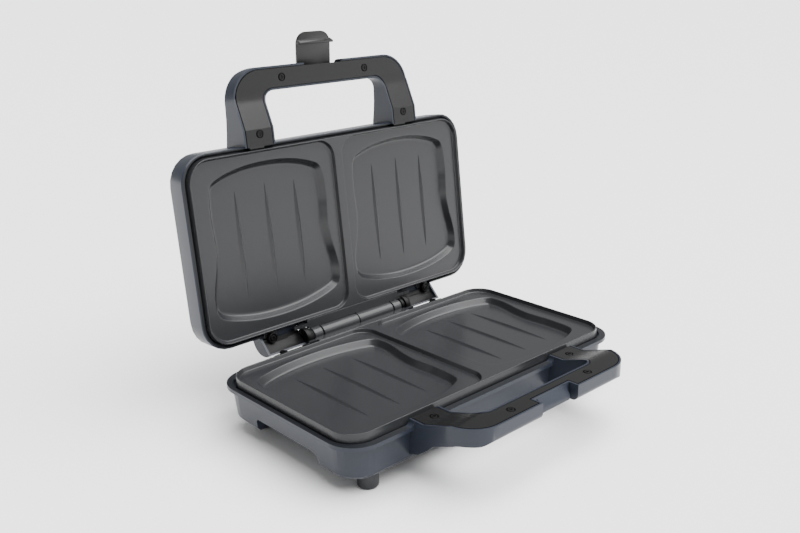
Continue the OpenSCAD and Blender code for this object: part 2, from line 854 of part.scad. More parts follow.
module element_ends() {
    color([0.9, 0.88, 0.82]) both_sides() translate([0, loop_y, tube_z]) {
        rod_x(tail_x - 6, tail_x, tube_r - 0.5);
        rod_x(tail_x - 9, tail_x - 6, tube_r - 1.6);
        translate([tail_x - 16, -3.1, -0.4]) cube([8, 6.2, 0.8]);
    }
}

module element_clips() {
    clip_x = 0.62 * loop_x;
    half = 1.55 * tube_r;
    strap = 1;
    tab_t = 1.2;
    tab_in = tube_r - 0.25;
    tab_out = tube_r + 7.75;
    rivet_y = (tab_in + tab_out) / 2 + 1;
    color([0.65, 0.65, 0.66])
        for (x = [-clip_x, clip_x])
            for (y = [-loop_y, loop_y])
                translate([x, y, 0]) difference() {
                    union() {
                        translate([0, 0, tube_z]) rod_x(-half, half, tube_r + strap);
                        for (s = [0, 1])
                            mirror([0, s, 0]) {
                                translate([-half, tab_in, shell_z - tab_t])
                                    cube([2 * half, tab_out - tab_in, tab_t]);
                                translate([0, rivet_y, shell_z - 2 * tab_t - 0.2])
                                    cylinder(r = 2.4, h = tab_t + 0.3);
                            }
                    }
                    translate([0, 0, tube_z]) rod_x(-half - 1, half + 1, tube_r);
                    translate([-half - 1, -tube_r, tube_z])
                        cube([2 * half + 2, 2 * tube_r, 2 * tube_r]);
                    translate([-half - 1, -tab_out - 1, shell_z])
                        cube([2 * half + 2, 2 * tab_out + 2, 10]);
                }
}

module reflector() {
    w = 2 * post_x + 40;
    d = 2 * post_y + 16;
    color([0.78, 0.79, 0.8]) difference() {
        slab(w, d, 12, tray_z - tray_t, tray_z + 3);
        slab(w - 2 * tray_t, d - 2 * tray_t, 12 - tray_t, tray_z, tray_z + 5);
        for (k = [-2:2])
            translate([k * 36 - 12, -2.5, tray_z - 3]) cube([24, 5, 6]);
    }
}

module thermostat() {
    // its flange runs along the bay between the pocket shells
    disc_r = 7.5;
    disc_h = 7;
    flange_y = 13;
    flange_x = 4;
    blade_x = 4.6;
    blade_w = 6.2;
    blade_h = 6;
    color([0.85, 0.84, 0.8]) translate([0, -4, 0]) {
        translate([0, 0, land_under - disc_h]) cylinder(r = disc_r, h = disc_h);
        translate([-flange_x, -flange_y, land_under - 1]) cube([2 * flange_x, 2 * flange_y, 1]);
        for (x = [-blade_x, blade_x])
            translate([x - 0.4, -blade_w / 2, land_under - disc_h - blade_h + 0.5])
                cube([0.8, blade_w, blade_h]);
    }
}

module thermal_fuse() {
    color([0.8, 0.8, 0.78]) translate([0, -36, land_under - 2.2]) {
        rotate([-90, 0, 0]) translate([0, 0, -6]) cylinder(r = 2.2, h = 12);
        rotate([-90, 0, 0]) translate([0, 0, -14]) cylinder(r = 0.6, h = 28);
    }
}

module terminal_block() {
    pitch = 11;
    deep = 13;
    wide = 3 * pitch + 1;
    bore_z = 0.46 * block_h;
    bore_r = 0.255 * block_h;
    color([0.93, 0.92, 0.88])
        translate([0, block_y, -base_depth + wall]) difference() {
            translate([-wide / 2, -deep / 2, 0]) cube([wide, deep, block_h]);
            for (k = [-1:1])
                translate([k * pitch, 0, 0]) {
                    translate([0, -deep, bore_z]) rotate([-90, 0, 0])
                        cylinder(r = bore_r, h = 2 * deep);
                    translate([0, 0, 0.4 * block_h]) cylinder(r = bore_r + 0.2, h = block_h);
                }
            for (x = [-pitch / 2, pitch / 2])
                translate([x - 0.6, -deep, 0.27 * block_h]) cube([1.2, 2 * deep, block_h]);
        }
}

// ---- lid casing, in the closed lid's frame ----

// ring of the lid's wall, taken in by t at height z
function lid_ring(t, z) =
    rect_ring(lid_w - 2 * t, lid_d - 2 * t, plate_r + lid_end - 0.25 * t, z);

function lid_rings(g, z0) = [
    lid_ring(g, z0), lid_ring(0.4 + g, lid_depth - 9 - g * 0.5),
    lid_ring(1.6 + g, lid_depth - 6.2 - g * 0.8), lid_ring(4.2 + g, lid_depth - 3.6 - g),
    lid_ring(9 + g, lid_depth - 1.7 - g), lid_ring(26 + g, lid_depth - 0.4 - g),
    lid_ring(52 + g, lid_depth - g)];

// rear ear of the lid: a disc cut along a sloping front line
module ear_side(g) {
    difference() {
        translate([ear_cy, ear_cz]) circle(ear_r - g);
        translate([end_y, 0]) polygon([[-14.75, 19.3], [3.25, 5.1], [15.95, -4.9],
            [25.25, -12.2], [25.25, -40], [-14.75, -40]]);
    }
}

lid_split = handle_gap - rim_gap;
// bevel of the lid's edge
lid_edge = 0.7;
// depth to which the lid's ears are solid behind the plate's lugs
ear_seat = lid_ear_screw[1] + boss_r;

module handle_pockets_lid() {
    intersection() {
        translate([0, 0, -20]) linear_extrude(80) handle_plan(3.6, root_y + 5);
        along_x(-handle_x, handle_x) intersection() {
            lid_handle_side(wall);
            above_split(lid_split - 3);
        }
    }
    intersection() {
        translate([0, 0, -30]) linear_extrude(60) cover_bed_plan();
        along_x(-handle_x, handle_x) below_split(lid_split + cover_t);
    }
}

lens_x = 11;
lens_y = 38;
lens_r = 3.4;

module lens_spots() {
    for (x = [-lens_x, lens_x])
        translate([x, -lens_y, 0]) children();
}

hatch_y = handle_y - 12;

module lid_casing() {
    color([0.40, 0.41, 0.45]) lid_half() difference() {
        union() {
            difference() {
                union() {
                    loft(concat([lid_ring(lid_edge, lid_drop)],
                        lid_rings(0, lid_drop + lid_edge)));
                    intersection() {
                        translate([0, 0, -10]) linear_extrude(60) handle_plan(0, leg_back);
                        along_x(-handle_x, handle_x) intersection() {
                            lid_handle_side(0);
                            above_split(lid_split);
                            translate([-200, -20]) square([200 - lid_d / 2 + lid_edge, 80]);
                        }
                    }
                    intersection() {
                        translate([0, 0, 7]) linear_extrude(60) handle_plan(0, leg_back);
                        along_x(-handle_x, handle_x) lid_handle_side(0);
                    }
                    translate([0, 0, lid_drop + lid_edge]) rotate([0, 180, 0])
                        root_block(lid_drop + lid_edge - split_root - lid_split, lid_d / 2);
                    both_sides() along_x(ear_x0, ear_x1) ear_side(0);
                }
                slab(mouth_w, mouth_d, mouth_r, -10, skirt_depth);
                slab(mouth_w - 2 * ledge_w, mouth_d - 2 * ledge_w, mouth_r - ledge_w,
                    0, skirt_depth + wall + eps);
                loft(lid_rings(wall, skirt_depth + wall));
                handle_pockets_lid();
                both_sides() {
                    translate([foot_screw_x - 7.4, -foot_screw_y - 5.4, -4])
                        cube([14.8, foot_screw_y, 4 + flange_drop]);
                    along_x(ear_x0 - 1, ear_x1 - ear_wall) difference() {
                        ear_side(edge_w);
                        translate([ear_back, flange_drop]) square([ear_seat - ear_back, 20]);
                    }
                    translate([ear_x0 - 1, end_y, -8])
                        cube([ear_x1 - ear_wall - ear_x0 + 1, 7, 8 + flange_drop]);
                }
                // cut for the latch clip in the bar and its edge
                translate([-notch_x, -handle_y - 5, split_bar + lid_split + cover_t])
                    cube([2 * notch_x, handle_y + 5 - hatch_y, 40]);
                translate([-notch_x, -handle_y - 5, 0]) cube([2 * notch_x, 5 + edge_w + groove, 40]);
            }
            intersection() {
                union() {
                    bar_spots(lid_split + cover_t) cylinder(r = boss_r, h = 30);
                    root_spots(flange_drop - split_root) cylinder(r = boss_r, h = 30);
                }
                along_x(-handle_x, handle_x) lid_handle_side(0.5);
            }
            // cheeks that hold the latch pin
            for (x = [-notch_x - wall, notch_x])
                intersection() {
                    translate([x, -handle_y, split_bar + lid_split + cover_t])
                        cube([wall, handle_y - hatch_y + wall, 30]);
                    along_x(-40, 40) lid_handle_side(0);
                }
            translate([-notch_x - wall, -hatch_y, split_bar + lid_split + cover_t])
                cube([2 * (notch_x + wall), wall, bar_over - split_bar - lid_split - cover_t]);
            for (x = [-post_x, post_x])
                for (y = [-post_y, post_y])
                    translate([x, y, -tray_z + tray_t]) cylinder(r = 3.2, h = 7.4);
            lens_spots() translate([0, 0, 25.4]) difference() {
                cylinder(r = lens_r + 2, h = 3);
                translate([0, 0, -1]) cylinder(r = lens_r + 0.1, h = 9);
            }
        }
        bar_spots(lid_split) cylinder(r = screw_r + 0.05, h = 10);
        root_spots(lid_split) cylinder(r = screw_r + 0.05, h = 14);
        both_sides() translate([lid_ear_screw[0], lid_ear_screw[1], 3])
            cylinder(r = screw_r + 0.05, h = 8);
        lens_spots() translate([0, 0, 20]) cylinder(r = lens_r + 0.1, h = 20);
        translate([0, -latch_y, latch_z])
            rod_x(-notch_x - wall - 1, notch_x + wall + 1, latch_pin_d / 2 + 0.02);
    }
}

// ---- lid trim ----

module lid_handle_cover() {
    color([0.09, 0.09, 0.09]) lid_half() {
        cover(lid_split, true);
        // sleeves that reach down to the plate's lugs
        root_spots(lid_split + cover_t - eps) difference() {
            cylinder(r = boss_r,
                h = flange_drop - lug_t - lay_gap - split_root - lid_split - cover_t + eps);
            translate([0, 0, -1]) cylinder(r = screw_r + 0.2, h = 20);
        }
    }
}

module lid_handle_screws() {
    color([0.3, 0.3, 0.3]) lid_half() {
        bar_spots(lid_split + sink) rotate([180, 0, 0]) screw(8);
        root_spots(lid_split + sink) rotate([180, 0, 0]) screw(12);
    }
}

module lid_hinge_covers() {
    face = 0.2;
    color([0.03, 0.03, 0.03]) lid_half() both_sides() difference() {
        union() {
            along_x(ear_x0, ear_x1 - ear_wall - lay_gap) difference() {
                ear_side(edge_w + lay_gap);
                translate([end_y + 0.15, ear_cz - 13.7]) circle(ear_hollow_r);
                translate([ear_back, flange_drop - lug_t - lay_gap])
                    square([ear_seat + lay_gap - ear_back, 20]);
                translate([ear_back, -20]) square([end_y + 0.9 - ear_back, 60]);
            }
            translate([lid_ear_screw[0], lid_ear_screw[1], face])
                cylinder(r = 4.2, h = flange_drop - lug_t - lay_gap - face);
        }
        translate([lid_ear_screw[0], lid_ear_screw[1], -10])
            cylinder(r = screw_r + 0.2, h = 30);
        translate([lid_ear_screw[0], lid_ear_screw[1], face - 5]) cylinder(r = head_r + 0.3, h = 6);
    }
}

module lid_hinge_screws() {
    color([0.3, 0.3, 0.3]) lid_half() both_sides()
        translate([lid_ear_screw[0], lid_ear_screw[1], 1.2]) rotate([180, 0, 0]) screw(7);
}

// ---- pilot lamps ----

module pilot_lenses() {
    color([0.7, 0.1, 0.06]) lid_half() lens_spots() {
        translate([0, 0, 24.4]) cylinder(r = lens_r, h = lid_depth - 24.2);
        translate([0, 0, lid_depth - 0.2 - eps])
            cylinder(r1 = lens_r, r2 = lens_r - 0.9, h = 0.9);
        translate([0, 0, 24.2]) cylinder(r = lens_r + 1, h = 1.2);
    }
}

module lamp_holder() {
    board_t = 0.8;
    board_z = -tray_z + tray_t;
    lamp_r = 1.25;
    color([0.75, 0.68, 0.4]) lid_half() {
        translate([-2 * lens_x, -lens_y - 7, board_z]) cube([4 * lens_x, 14, board_t]);
        lens_spots() translate([0, 0, board_z + board_t + lamp_r - 0.05])
            rod_x(-4 * lamp_r, 4 * lamp_r, lamp_r);
    }
}

// ---- latch ----

module latch_pin() {
    color([0.7, 0.7, 0.7]) lid_half() translate([0, -latch_y, latch_z])
        rod_x(-notch_x - wall + 0.2, notch_x + wall - 0.2, latch_pin_d / 2);
}

module latch_clip() {
    half = latch_w / 2;
    tip_r = 10;
    color([0.2, 0.2, 0.2]) lid_half() translate([0, -latch_y, latch_z])
        rotate([latch_lean, 0, 0]) difference() {
        union() {
            rod_x(-half, half, barrel_r);
            translate([-half, -barrel_r, 0]) cube([2 * half, 2 * barrel_r, latch_arm + eps]);
            translate([0, 0, latch_arm]) linear_extrude(latch_t) {
                translate([-half, -latch_len + tip_r])
                    square([2 * half, latch_len - tip_r + barrel_r]);
                translate([-half + tip_r, -latch_len]) square([2 * (half - tip_r), tip_r + 1]);
                for (x = [-half + tip_r, half - tip_r])
                    translate([x, -latch_len + tip_r]) circle(tip_r);
            }
            // hook that grips under the catch
            along_x(-half, half) polygon([
                [-hook_face, latch_arm + eps], [-hook_face, 1.2], [-hook_face - 0.6, 0.8],
                [-hook_face - 1.6, 0.8], [-hook_face - 3.4, latch_arm + eps]]);
        }
        rod_x(-half - 1, half + 1, latch_pin_d / 2 + run_clear);
    }
}

// ---- pieces by node ----

module lower_plate() {
    color([0.13, 0.13, 0.14]) plate();
}

base_half() base_casing();
base_half() lower_plate();
base_half() base_handle_cover();
base_half() base_handle_screws();
base_half() base_hinge_covers();
base_half() base_hinge_screws();
base_half() feet();
base_half() hinge_pin();
base_half() hinge_bushes();
base_half() element();  // lower_element
base_half() element_ends();  // lower_element_ends
base_half() element_clips();  // lower_element_clips
base_half() reflector();  // lower_reflector
base_half() thermostat();
base_half() thermal_fuse();
base_half() terminal_block();
lid_casing();
lid_half() turned() lower_plate();  // upper_plate
lid_handle_cover();
lid_handle_screws();
lid_hinge_covers();
lid_hinge_screws();
lid_half() turned() element();  // upper_element
lid_half() turned() element_ends();  // upper_element_ends
lid_half() turned() element_clips();  // upper_element_clips
lid_half() turned() reflector();  // upper_reflector
pilot_lenses();
lamp_holder();
latch_pin();
latch_clip();
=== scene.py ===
import bmesh
import bpy
import json
import math
import numpy as np
from mathutils import Matrix, Vector
from mathutils.geometry import tessellate_polygon


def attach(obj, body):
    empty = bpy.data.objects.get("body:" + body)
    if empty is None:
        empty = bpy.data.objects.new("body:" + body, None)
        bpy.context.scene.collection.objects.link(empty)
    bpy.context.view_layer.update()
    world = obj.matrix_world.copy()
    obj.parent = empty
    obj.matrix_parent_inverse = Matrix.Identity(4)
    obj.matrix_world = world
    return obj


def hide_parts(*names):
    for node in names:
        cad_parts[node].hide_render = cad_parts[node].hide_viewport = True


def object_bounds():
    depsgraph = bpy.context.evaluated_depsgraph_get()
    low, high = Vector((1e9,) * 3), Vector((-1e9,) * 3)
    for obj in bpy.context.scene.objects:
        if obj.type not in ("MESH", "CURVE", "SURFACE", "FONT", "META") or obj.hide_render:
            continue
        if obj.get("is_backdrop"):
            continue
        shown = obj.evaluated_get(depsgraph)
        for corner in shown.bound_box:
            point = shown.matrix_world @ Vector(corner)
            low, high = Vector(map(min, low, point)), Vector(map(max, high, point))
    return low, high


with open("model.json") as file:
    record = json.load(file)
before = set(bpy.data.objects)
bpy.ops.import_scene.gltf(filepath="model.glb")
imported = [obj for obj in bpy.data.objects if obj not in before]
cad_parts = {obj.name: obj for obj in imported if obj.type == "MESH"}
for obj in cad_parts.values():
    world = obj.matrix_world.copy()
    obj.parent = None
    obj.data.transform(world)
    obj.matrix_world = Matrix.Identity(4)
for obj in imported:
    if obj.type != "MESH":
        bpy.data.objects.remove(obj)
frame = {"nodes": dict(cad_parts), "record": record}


def write_size(tag, sizes={}):
    low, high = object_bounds()
    sizes[tag] = [[round(v, 6) for v in low], [round(v, 6) for v in high]]


write_size("cad")

MM = 0.001
WELD = 1e-6


# ---- materials ----

GRAIN_DETAIL, GRAIN_DEPTH = 3, 0.0002


def linear(r, g, b):
    """sRGB 0-255 to linear."""
    def one(v):
        v /= 255
        return v / 12.92 if v <= 0.04045 else ((v + 0.055) / 1.055) ** 2.4
    return (one(r), one(g), one(b), 1)


def material(name, rgb, rough, metal=0.0, grain=0.0, grain_scale=900, spec=0.5):
    """Finish of one even colour; grain is the strength of its fine bumps."""
    m = bpy.data.materials.new(name)
    m.use_nodes = True
    t = m.node_tree
    bsdf = t.nodes["Principled BSDF"]
    bsdf.inputs["Base Color"].default_value = linear(*rgb)
    bsdf.inputs["Roughness"].default_value = rough
    bsdf.inputs["Metallic"].default_value = metal
    bsdf.inputs["Specular IOR Level"].default_value = spec
    if grain:
        at = t.nodes.new("ShaderNodeTexCoord")
        noise = t.nodes.new("ShaderNodeTexNoise")
        noise.inputs["Scale"].default_value = grain_scale
        noise.inputs["Detail"].default_value = GRAIN_DETAIL
        bump = t.nodes.new("ShaderNodeBump")
        bump.inputs["Strength"].default_value = grain
        bump.inputs["Distance"].default_value = GRAIN_DEPTH
        t.links.new(at.outputs["Object"], noise.inputs["Vector"])
        t.links.new(noise.outputs["Fac"], bump.inputs["Height"])
        t.links.new(bump.outputs["Normal"], bsdf.inputs["Normal"])
    return m


MAT = {
    "casing": material("casing", (35, 39, 48), 0.3, grain=0.08, grain_scale=1500, spec=0.24),
    # painted shade: a darker copy of the casing for its face round the plate, where shade falls
    # beside the plate's skirt
    "casing_rim_painted_shade": material("casing_rim_painted_shade", (19, 21, 25), 0.34, grain=0.1, grain_scale=1500,
                           spec=0.3),
    "coated_casting": material("coated_casting", (35, 36, 38), 0.25, grain=0.14,
                               grain_scale=2200, spec=0.36),
    "dark_plastic": material("dark_plastic", (15, 15, 16), 0.24, grain=0.05, grain_scale=1800,
                             spec=0.27),
    "black_plastic": material("black_plastic", (5, 5, 6), 0.42, spec=0.16),
    "latch_plastic": material("latch_plastic", (16, 16, 15), 0.34, grain=0.1, grain_scale=1800,
                              spec=0.36),
    "screw_steel": material("screw_steel", (4, 4, 4), 0.4, spec=0.2),
    "pin_steel": material("pin_steel", (185, 185, 183), 0.25, metal=1),
    "foot_plastic": material("foot_plastic", (22, 24, 28), 0.4, grain=0.1, spec=0.4),
    "sheath_steel": material("sheath_steel", (150, 148, 142), 0.35, metal=1),
    "ceramic": material("ceramic", (226, 222, 208), 0.5),
    "tray_steel": material("tray_steel", (205, 206, 208), 0.3, metal=1),
    "lens_red": material("lens_red", (170, 24, 16), 0.12),
    "board": material("board", (150, 118, 66), 0.6),
}

slots = {s["node"]: s["material_slot"] for s in frame["record"]["subparts"]}


# ---- modifiers and shading ----

BROAD_WEIGHT, PIECE_WEIGHT = 75, 60
PIECE_SHARP, COVER_SHARP = 38, 12


def round_edges(obj, width, segments, angle, harden=False):
    """Rounds the edges that turn by more than the angle; width in millimetres."""
    bevel = obj.modifiers.new("edges", "BEVEL")
    bevel.width = width * MM
    bevel.segments = segments
    bevel.limit_method = "ANGLE"
    bevel.angle_limit = math.radians(angle)
    bevel.use_clamp_overlap = True
    bevel.harden_normals = harden


def keep_flat(obj, weight):
    """Large faces keep their own normal; the shading turns only over the narrow ones."""
    even = obj.modifiers.new("normals", "WEIGHTED_NORMAL")
    even.keep_sharp = True
    even.weight = weight


def smooth(mesh):
    for face in mesh.polygons:
        face.use_smooth = True


def shade(mesh, sharp):
    """Smooth shading, broken where the surface turns by more than the angle sharp."""
    smooth(mesh)
    mesh.set_sharp_from_angle(angle=math.radians(sharp))


# ---- the CAD pieces: their edges are rounded by modifiers, and their meshes stay ----

NODE_SEGMENTS, NODE_ANGLE = 2, 35
EDGE = {
    "base_casing": 0.5, "lid_casing": 0.5, "lower_plate": 0.4, "upper_plate": 0.4,
    "base_handle_cover": 0.3, "lid_handle_cover": 0.3, "base_handle_screws": 0.2,
    "lid_handle_screws": 0.2, "base_hinge_screws": 0.2, "lid_hinge_screws": 0.2,
    "base_hinge_covers": 0.5, "lid_hinge_covers": 0.6, "hinge_bushes": 0.5, "latch_clip": 0.45,
    "hinge_pin": 0.4, "latch_pin": 0.3, "pilot_lenses": 0.2, "terminal_block": 0.3,
    "thermostat": 0.2, "lower_reflector": 0.2, "upper_reflector": 0.2,
}

# pieces with wide smooth faces, shaded by the size of the faces that meet
BROAD = ("base_casing", "lid_casing")

# a face gets the casing rim's painted shade if it faces this squarely and lies this near, in
# millimetres
SQUARE, RIM_REACH = 0.99, 0.2


def dress(name, obj):
    """The node's finish, merged points and rounded edges."""
    obj.data.materials.clear()
    obj.data.materials.append(MAT[slots[name]])
    smooth(obj.data)
    weld = obj.modifiers.new("weld", "WELD")
    weld.merge_threshold = WELD
    if name in EDGE:
        round_edges(obj, EDGE[name], NODE_SEGMENTS, NODE_ANGLE, harden=name not in BROAD)
    if name in BROAD:
        keep_flat(obj, BROAD_WEIGHT)


def paint_rim_shade(node, normal, level):
    """Paints shade on the casing's face round the plate: the faces that look along normal and lie
    at level get a darker copy of the casing's material.
    """
    obj = frame["nodes"][node]
    obj.data.materials.append(MAT["casing_rim_painted_shade"])
    way = Vector(normal).normalized()
    for face in obj.data.polygons:
        if face.normal.dot(way) > SQUARE and abs(face.center.dot(way) - level) < RIM_REACH * MM:
            face.material_index = 1


# ---- places, in millimetres ----

HOME_Y = 0.5
RIM_H = 49.2
HINGE_Y = 87.8
AXIS_Z = 0.3
OPEN = math.radians(96.7)


def base_place(p):
    """Half frame of the base to the shared frame, in metres."""
    return Vector((p[0], p[1] + HOME_Y, p[2] + RIM_H)) * MM


def lid_place(p):
    """Closed lid's frame to the shared frame of the open lid, in metres."""
    y, z = p[1] - HINGE_Y, p[2] + AXIS_Z
    c, s = math.cos(OPEN), math.sin(OPEN)
    return Vector((p[0], y * c + z * s + HINGE_Y + HOME_Y, z * c - y * s + RIM_H + AXIS_Z)) * MM


def turned(p):
    """The plate's own frame to the closed lid's frame."""
    return (-p[0], p[1], -p[2])


def upper_place(p):
    return lid_place(turned(p))


def mirrored(p):
    """The same point on the other side."""
    return (-p[0], p[1], p[2])


def sides(x0, x1):
    """The stretch from x0 to x1 on the left and on the right."""
    return [tuple(sorted((s * x0, s * x1))) for s in (-1, 1)]


# ---- mesh building ----

class Shape:
    """Collects the rings, strips and caps of one piece, in millimetres."""

    def __init__(self):
        self.verts = []
        self.faces = []

    def ring(self, pts):
        first = len(self.verts)
        self.verts.extend(pts)
        return list(range(first, first + len(pts)))

    def strip(self, a, b, closed=True):
        n = len(a)
        for i in range(n if closed else n - 1):
            j = (i + 1) % n
            self.faces.append((a[i], a[j], b[j], b[i]))

    def loft(self, rings, closed=True, cap_first=False, cap_last=False):
        ids = [self.ring(r) for r in rings]
        for a, b in zip(ids, ids[1:]):
            self.strip(a, b, closed)
        if cap_first:
            self.faces.append(tuple(reversed(ids[0])))
        if cap_last:
            self.faces.append(tuple(ids[-1]))
        return ids

    def sheet(self, loops, up=True):
        """Flat face with holes: loops are lists of points, the outline first."""
        flat = [Vector(p) for loop in loops for p in loop]
        first = len(self.verts)
        self.verts.extend(tuple(p) for p in flat)
        for tri in tessellate_polygon([[Vector(p) for p in loop] for loop in loops]):
            a, b, c = (flat[i] for i in tri)
            if ((b - a).cross(c - a).z > 0) != up:
                tri = tri[::-1]
            self.faces.append(tuple(first + i for i in tri))

    def add(self, other, move=lambda p: p):
        first = len(self.verts)
        self.verts.extend(move(p) for p in other.verts)
        self.faces.extend(tuple(first + i for i in f) for f in other.faces)


def add_object(name, data):
    obj = bpy.data.objects.new(name, data)
    bpy.context.scene.collection.objects.link(obj)
    return obj


def mesh_of(name, shape, place):
    """The shape as a mesh in its place, with doubled points merged and faces turned outward."""
    mesh = bpy.data.meshes.new(name)
    mesh.from_pydata([place(p) for p in shape.verts], [], shape.faces)
    bm = bmesh.new()
    bm.from_mesh(mesh)
    bmesh.ops.remove_doubles(bm, verts=bm.verts, dist=WELD)
    bmesh.ops.recalc_face_normals(bm, faces=bm.faces)
    bm.to_mesh(mesh)
    bm.free()
    return mesh


def piece(name, shape, place, body, slot_name, stands_for):
    """A visible piece that rides on a body in place of the CAD nodes named in stands_for."""
    mesh = mesh_of(name, shape, place)
    shade(mesh, PIECE_SHARP)
    mesh.materials.append(MAT[slot_name])
    obj = add_object(name, mesh)
    keep_flat(obj, PIECE_WEIGHT)
    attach(obj, body)
    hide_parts(*stands_for)
    return obj


# ---- outlines ----

CORNER_N = 12
SLAB_STEPS = (60, 36)


def arc(cx, cy, r, a0, a1, n):
    """n equal steps along an arc, with both its ends; angles in degrees."""
    return [(cx + r * math.cos(math.radians(a0 + (a1 - a0) * i / n)),
             cy + r * math.sin(math.radians(a0 + (a1 - a0) * i / n))) for i in range(n + 1)]


def circle(cx, cy, r, n):
    return [(cx + r * math.cos(2 * math.pi * i / n), cy + r * math.sin(2 * math.pi * i / n))
            for i in range(n)]


def rect_pts(x0, x1, y0, y1, radii, n, counts):
    """Rounded rectangle, counter-clockwise from the right side; radii for the corners
    right-rear, left-rear, left-front, right-front; straight runs are cut into equal steps."""
    r0, r1, r2, r3 = radii
    runs = [arc(x1 - r0, y1 - r0, r0, 0, 90, n), arc(x0 + r1, y1 - r1, r1, 90, 180, n),
            arc(x0 + r2, y0 + r2, r2, 180, 270, n), arc(x1 - r3, y0 + r3, r3, 270, 360, n)]
    pts = []
    for k, run in enumerate(runs):
        pts.extend(run)
        a, b = run[-1], runs[(k + 1) % 4][0]
        steps = counts[k % 2]
        for i in range(1, steps):
            t = i / steps
            pts.append((a[0] + (b[0] - a[0]) * t, a[1] + (b[1] - a[1]) * t))
    return pts


def slab_ring(w, d, r, z):
    pts = rect_pts(-w / 2, w / 2, -d / 2, d / 2, (r,) * 4, CORNER_N, SLAB_STEPS)
    return [(x, y, z) for x, y in pts]


def offset(pts, inset):
    """A closed outline moved inward."""
    n = len(pts)
    out = []
    for i in range(n):
        t = (pts[(i + 1) % n] - pts[i - 1]).normalized()
        out.append(pts[i] + Vector((-t.y, t.x)) * inset)
    return out


def reach(pts, directions):
    """Distance from the origin to a closed star-shaped outline along each direction."""
    a = np.array([tuple(p) for p in pts])
    b = np.roll(a, -1, axis=0)
    edge = b - a
    out = []
    for d in directions:
        den = d[0] * edge[:, 1] - d[1] * edge[:, 0]
        with np.errstate(divide="ignore", invalid="ignore"):
            t = (a[:, 0] * edge[:, 1] - a[:, 1] * edge[:, 0]) / den
            u = (a[:, 0] * d[1] - a[:, 1] * d[0]) / den
        hit = (t > 0) & (u >= -1e-9) & (u <= 1 + 1e-9)
        out.append(t[hit].max())
    return np.array(out)


def block(shape, x0, x1, y0, y1, z0, z1, b):
    """Block with all its edges bevelled by about b."""
    def ring(i, z):
        return [(x1 - i, y0 + b, z), (x1 - i, y1 - b, z), (x1 - b, y1 - i, z), (x0 + b, y1 - i, z),
                (x0 + i, y1 - b, z), (x0 + i, y0 + b, z), (x0 + b, y0 + i, z), (x1 - b, y0 + i, z)]
    shape.loft([ring(b * 0.9, z0), ring(0, z0 + b), ring(0, z1 - b), ring(b * 0.9, z1)],
               cap_first=True, cap_last=True)


# ---- cooking plates ----

PLATE_W, PLATE_D, PLATE_R = 290, 149.5, 20
RIM_W, DIVIDER_W, LAND, POCKET, CAST_T = 2, 8, 3.3, 9, 2.5
INNER_CORNER = 5
CAVITY_N, CAVITY_STEPS = 14, (56, 60)

# the skirt's draft is in the look only
SKIRT, DRAFT, RIM_EDGE = 9, 1.0, 0.35

# a bread pocket: its middle, its half widths at the rear, waist and front, and its reach
POCKET_MID = 72.0
REAR_X, WAIST_X, FRONT_X, REAR_Y, FRONT_Y = 62.3, 55.3, 56.3, 63, 64
CURVE_STEPS = 10
FLOOR_RINGS = (0.75, 0.5, 0.25)

# rows of the walls, each with its inset from the outline and its height: the first three go
# down, and the skirt goes down its outside and up its inside
CAVITY_WALL = ((-0.4, 0), (-0.14, -0.05), (0.02, -0.2), (0.12, -0.42), (0.92, -2.7), (1.06, -2.98),
               (1.3, -3.18), (1.65, -3.28), (2.2, -LAND))
POCKET_WALL = ((-1.0, -3.3), (-0.5, -3.34), (-0.12, -3.48), (0.12, -3.75), (0.35, -4.1),
               (2.5, -7.4), (2.8, -7.85), (3.2, -8.3), (3.75, -8.68), (4.5, -8.92),
               (5.6, -POCKET))
UNDERSIDE = ((-CAST_T, -LAND - CAST_T), (-CAST_T + 0.6, -7), (1.4, -10.6), (2.6, -11.3),
             (4.0, -POCKET - CAST_T))
SKIRT_WALL = ((DRAFT + 0.17, -0.03), (DRAFT + 0.05, -0.14), (DRAFT - 0.02, -0.34),
              (0.05, -5.8), (0, -6.2), (0, -SKIRT + 0.4), (0.3, -SKIRT),
              (CAST_T - 0.3, -SKIRT), (CAST_T, -SKIRT + 0.4), (CAST_T, -LAND - CAST_T))

# ribs: each row has its place, and how far it runs past RIB_REACH to the front and the rear
RIB_PITCH, RIB_W, RIB_H, RIB_REACH = 29, 4.6, 1.6, 44
RIBS = ((-1, 1, 0), (0, 3, 2), (1, 1, 0))
RIB_STEPS, RIB_TAPER, RIB_SINK = 44, 0.7, 0.05
FLANK_X, FLANK_H = 0.5, 0.34

# hinge: the web, this plate's knuckles, and where the turned plate's knuckles come
WEB_X, WEB_Y, WEB_T, WEB_EDGE = 52, 81.45, 3, 0.5
KNUCKLE_R, KNUCKLE_N = 6, 48
KNUCKLES = ((-40, -0.25), (41, 50))
OTHER_KNUCKLES = ((0.3, 40.7), (-49.9, -40.3))
END_ROUND = ((0, 0.8), (0.2, 0.3), (0.8, 0))

# the bore clears the pin by 0.2, which is more than in the solids
BORE_R = 2.7

# lips and wings that close the slits at the hinge, in the look only
BUSH_R, LIP_GAP, WING_GAP = 8, 0.25, 0.3
LIP_Z, LIP_TOP, LIP_STEPS = -4.3, 0.02, 10
WING, LID_WING = (WEB_X - 0.5, 59.7), (59, 66)

# lugs that lie under the handle cover in front and under the hinge covers at the rear
FRONT_LUG, REAR_LUG = (70.3, 84.3), (79.85, 93.85)
LUG_FRONT_Y, LUG_OUT, LUG_LOW, LUG_TOP, LUG_EDGE = -91, 5.2, -6, -4.5, 0.4


def cavity_outline(inset):
    """Sunk face round one pocket, on the right."""
    r_out, r_in = PLATE_R - RIM_W - inset, PLATE_R - INNER_CORNER - inset
    return rect_pts(DIVIDER_W / 2 + inset, PLATE_W / 2 - RIM_W - inset,
                    inset - PLATE_D / 2 + RIM_W, PLATE_D / 2 - RIM_W - inset,
                    (r_out, r_in, r_in, r_out), CAVITY_N, CAVITY_STEPS)


